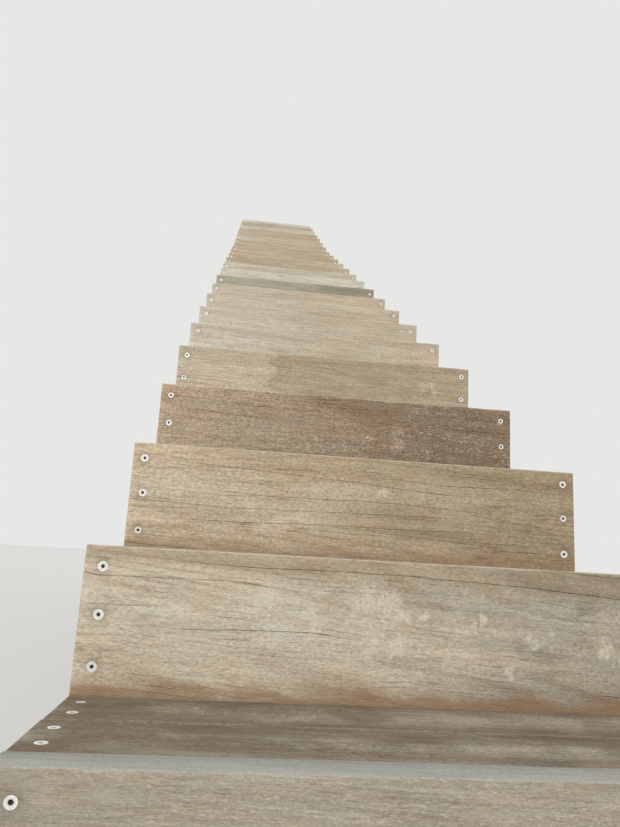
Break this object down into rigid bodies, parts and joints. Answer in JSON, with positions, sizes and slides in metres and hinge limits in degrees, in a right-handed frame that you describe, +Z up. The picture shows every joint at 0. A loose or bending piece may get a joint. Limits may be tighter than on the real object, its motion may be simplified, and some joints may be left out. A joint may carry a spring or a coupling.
{
  "type": "outdoor timber stair flight",
  "caption": "Straight flight of outdoor timber steps: riser boards on edge, two-board treads and sawtooth-cut stringers, for a bank or slope.",
  "frame": {"origin": "underside of the bottom riser, at the middle of its width and thickness", "axes": "+X across the flight to the right when climbing, +Y up the slope, +Z up"},
  "size_m": [0.87, 7.73, 4.491],
  "materials": {
    "riser_timber": "weathered rough-sawn",
    "tread_timber": "weathered rough-sawn",
    "stringer_timber": "weathered rough-sawn",
    "galvanised_steel": "galvanised, dull"
  },
  "bodies": {
    "root": {"cleats_lower": "stringer_timber", "cleats_upper": "stringer_timber", "riser_01": "riser_timber", "riser_02": "riser_timber", "riser_03": "riser_timber", "riser_04": "riser_timber", "riser_05": "riser_timber", "riser_06": "riser_timber", "riser_07": "riser_timber", "riser_08": "riser_timber", "riser_09": "riser_timber", "riser_10": "riser_timber", "riser_11": "riser_timber", "riser_12": "riser_timber", "riser_13": "riser_timber", "riser_14": "riser_timber", "riser_15": "riser_timber", "riser_16": "riser_timber", "riser_17": "riser_timber", "riser_18": "riser_timber", "riser_19": "riser_timber", "riser_20": "riser_timber", "riser_21": "riser_timber", "riser_22": "riser_timber", "riser_23": "riser_timber", "riser_24": "riser_timber", "stringer_left_lower": "stringer_timber", "stringer_left_middle": "stringer_timber", "stringer_left_upper": "stringer_timber", "stringer_right_lower": "stringer_timber", "stringer_right_middle": "stringer_timber", "stringer_right_upper": "stringer_timber", "tread_01": "tread_timber", "tread_02": "tread_timber", "tread_03": "tread_timber", "tread_04": "tread_timber", "tread_05": "tread_timber", "tread_06": "tread_timber", "tread_07": "tread_timber", "tread_08": "tread_timber", "tread_09": "tread_timber", "tread_10": "tread_timber", "tread_11": "tread_timber", "tread_12": "tread_timber", "tread_13": "tread_timber", "tread_14": "tread_timber", "tread_15": "tread_timber", "tread_16": "tread_timber", "tread_17": "tread_timber", "tread_18": "tread_timber", "tread_19": "tread_timber", "tread_20": "tread_timber", "tread_21": "tread_timber", "tread_22": "tread_timber", "tread_23": "tread_timber", "tread_24": "tread_timber"}
  },
  "joints": []
}
